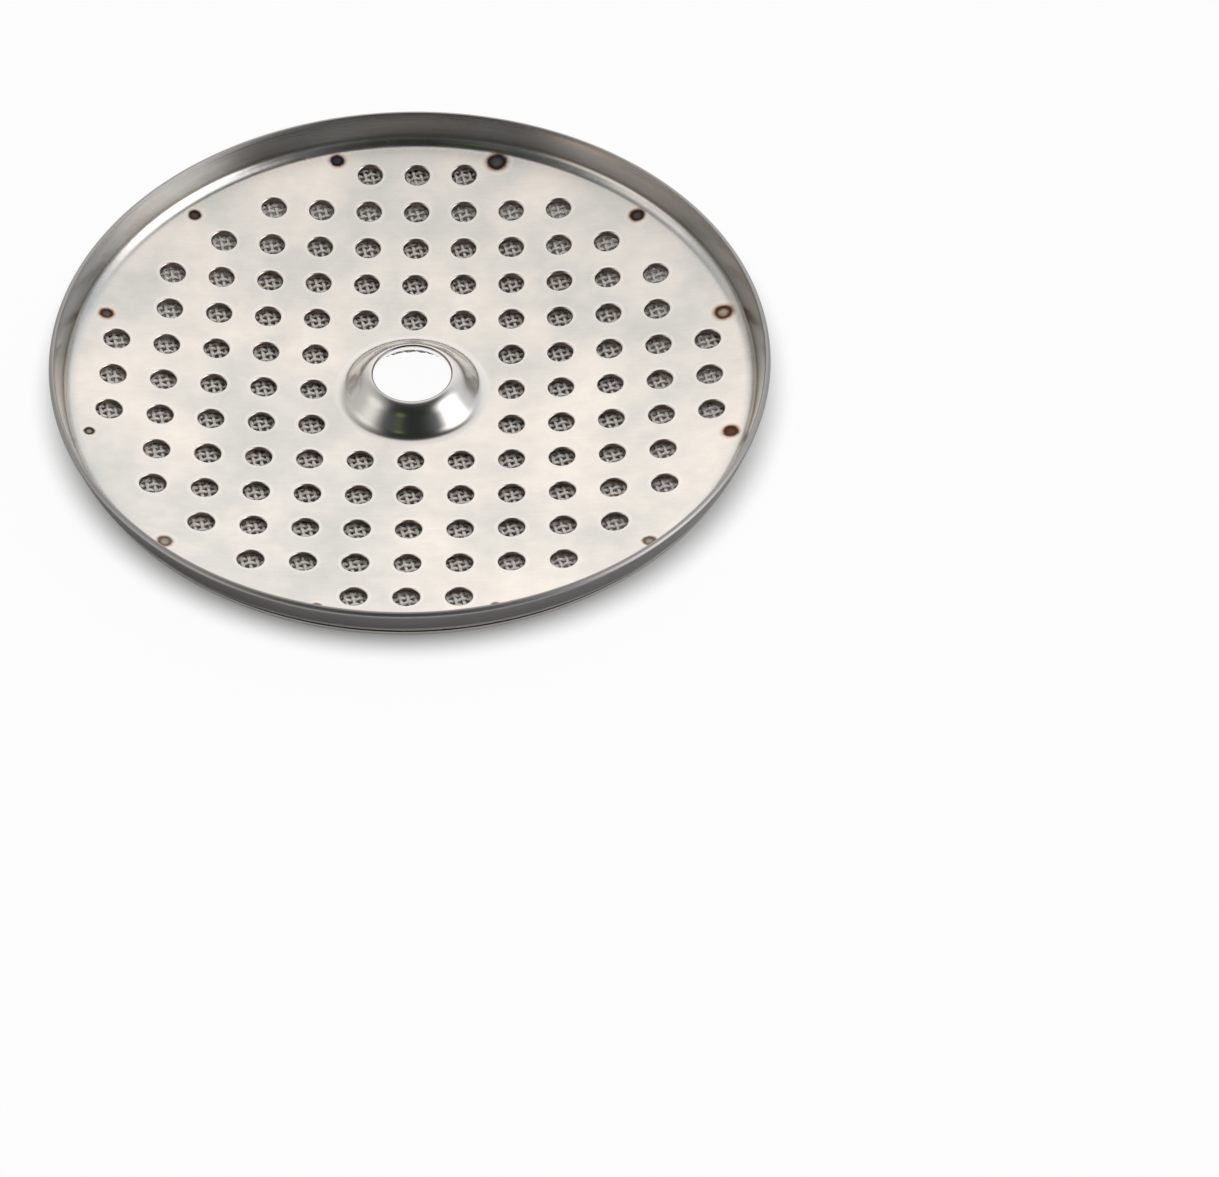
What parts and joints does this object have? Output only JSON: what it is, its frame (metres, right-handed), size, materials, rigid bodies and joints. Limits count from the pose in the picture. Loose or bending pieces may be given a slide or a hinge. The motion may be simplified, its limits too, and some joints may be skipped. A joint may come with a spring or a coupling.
{
  "type": "espresso shower screen",
  "caption": "Round dished steel shower screen with punched water holes, a raised centre hole for its screw, and a woven mesh held by a pressed ring.",
  "frame": {"origin": "on the disc's axis at the level of the mesh's lowest point, on which it rests", "axes": "+Z along the disc's axis towards the cup's open side, +X and +Y along the rows of punched holes"},
  "size_m": [0.0574, 0.0574, 0.0061],
  "materials": {
    "cup_steel": "satin stainless, pale and slightly warm",
    "mesh_steel": "woven stainless wire",
    "ring_steel": "satin stainless with spot-weld tint"
  },
  "bodies": {
    "root": {"perforated_cup": "cup_steel", "woven_mesh": "mesh_steel", "retaining_ring": "ring_steel"}
  },
  "joints": []
}
